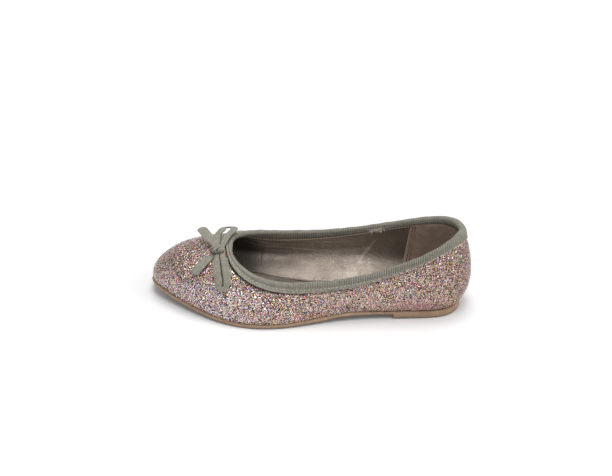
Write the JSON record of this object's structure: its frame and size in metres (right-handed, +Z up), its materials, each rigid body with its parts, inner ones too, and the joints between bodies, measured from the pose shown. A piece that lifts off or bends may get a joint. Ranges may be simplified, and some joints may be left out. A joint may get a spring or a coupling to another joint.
{
  "type": "ballet flat shoe",
  "caption": "Left ballet flat: low hollow glitter upper with rounded toe, bound topline and tied tape bow, on a thin moulded sole with a low heel.",
  "frame": {"origin": "middle of the shoe's box at the floor it stands on", "axes": "+X from toe to heel, +Y to the inner (medial) side, +Z up; the toe points along -X"},
  "size_m": [0.2422, 0.0874, 0.0665],
  "materials": {
    "sole": "matt tan moulded sole",
    "sock": "pewter metallic synthetic leather",
    "glitter": "coarse multi-coloured glitter on rose taupe cloth",
    "tape": "olive-grey ribbed cotton tape"
  },
  "bodies": {
    "root": {"outsole": "sole", "insole": "sock", "upper": "glitter", "topline_binding": "tape", "bow_knot": "tape", "bow_loop_lateral": "tape", "bow_loop_medial": "tape", "bow_tail_lateral": "tape", "bow_tail_medial": "tape"}
  },
  "joints": []
}
